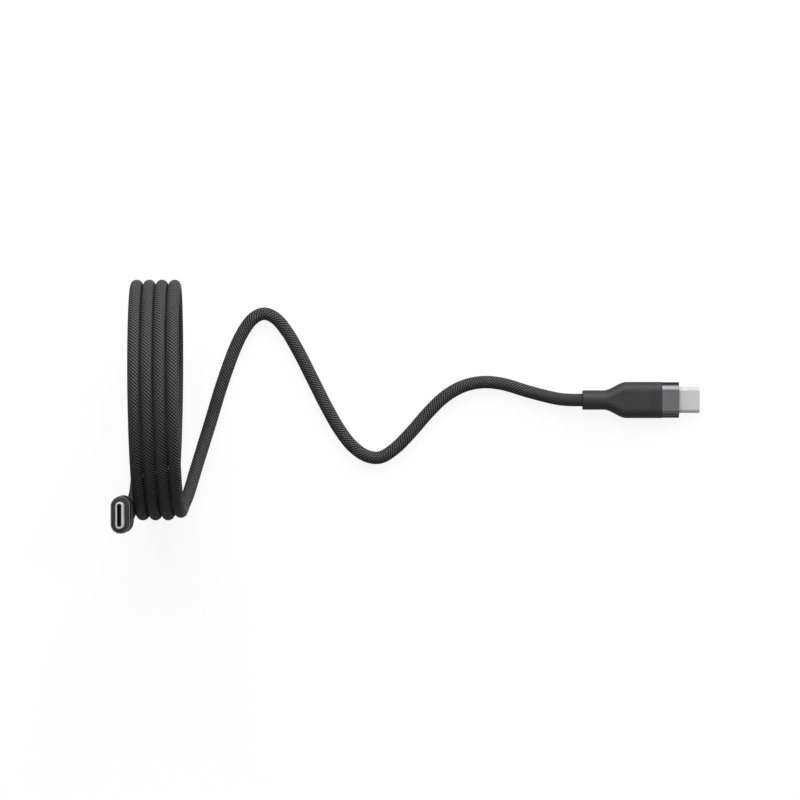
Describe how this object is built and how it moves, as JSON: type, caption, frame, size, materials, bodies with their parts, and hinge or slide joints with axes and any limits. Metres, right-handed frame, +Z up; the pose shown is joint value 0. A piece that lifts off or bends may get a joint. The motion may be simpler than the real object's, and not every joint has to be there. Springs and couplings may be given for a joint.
{
  "type": "charging cable",
  "caption": "Braided charging cable with a reversible metal-tipped plug at each end, put away as a close upright coil whose tail waves along the table.",
  "frame": {"origin": "on the table, at the centre of the two plugs' box seen from above", "axes": "+X from the coil to the lying plug's tip, +Y across the table, +Z up, the way the standing plug points"},
  "size_m": [0.1846, 0.0787, 0.0791],
  "materials": {
    "grip_plastic": "matte",
    "collar_metal": "polished",
    "face_plastic": "matte",
    "shell_steel": "satin",
    "carrier_plastic": "matte",
    "contact_gold": "satin",
    "spring_steel": "satin",
    "card_laminate": "satin",
    "capacitor_ceramic": "matte",
    "chip_epoxy": "matte",
    "case_steel": "satin",
    "power_insulation": "satin",
    "signal_insulation": "satin",
    "mould_plastic": "satin",
    "crimp_brass": "satin",
    "cord_braid": "matte"
  },
  "bodies": {
    "root": {"coil_plug_grip": "grip_plastic", "coil_plug_collar": "collar_metal", "coil_plug_face_plate": "face_plastic", "coil_plug_shell": "shell_steel", "coil_plug_contact_carrier": "carrier_plastic", "coil_plug_upper_contacts": "contact_gold", "coil_plug_lower_contacts": "contact_gold", "coil_plug_latch_plate": "spring_steel", "coil_plug_upper_ground_spring": "spring_steel", "coil_plug_lower_ground_spring": "spring_steel", "coil_plug_circuit_card": "card_laminate", "coil_plug_capacitors": "capacitor_ceramic", "coil_plug_upper_shield_case": "case_steel", "coil_plug_lower_shield_case": "case_steel", "coil_plug_power_wires": "power_insulation", "coil_plug_signal_wires": "signal_insulation", "coil_plug_inner_mould": "mould_plastic", "coil_plug_crimp_ring": "crimp_brass", "coil_plug_cord_end": "cord_braid", "tail_plug_grip": "grip_plastic", "tail_plug_collar": "collar_metal", "tail_plug_face_plate": "face_plastic", "tail_plug_shell": "shell_steel", "tail_plug_contact_carrier": "carrier_plastic", "tail_plug_upper_contacts": "contact_gold", "tail_plug_lower_contacts": "contact_gold", "tail_plug_latch_plate": "spring_steel", "tail_plug_upper_ground_spring": "spring_steel", "tail_plug_lower_ground_spring": "spring_steel", "tail_plug_circuit_card": "card_laminate", "tail_plug_capacitors": "capacitor_ceramic", "tail_plug_marker_chip": "chip_epoxy", "tail_plug_upper_shield_case": "case_steel", "tail_plug_lower_shield_case": "case_steel", "tail_plug_power_wires": "power_insulation", "tail_plug_signal_wires": "signal_insulation", "tail_plug_inner_mould": "mould_plastic", "tail_plug_crimp_ring": "crimp_brass", "tail_plug_cord_end": "cord_braid", "cord_coil": "cord_braid", "cord_tail": "cord_braid"}
  },
  "joints": []
}
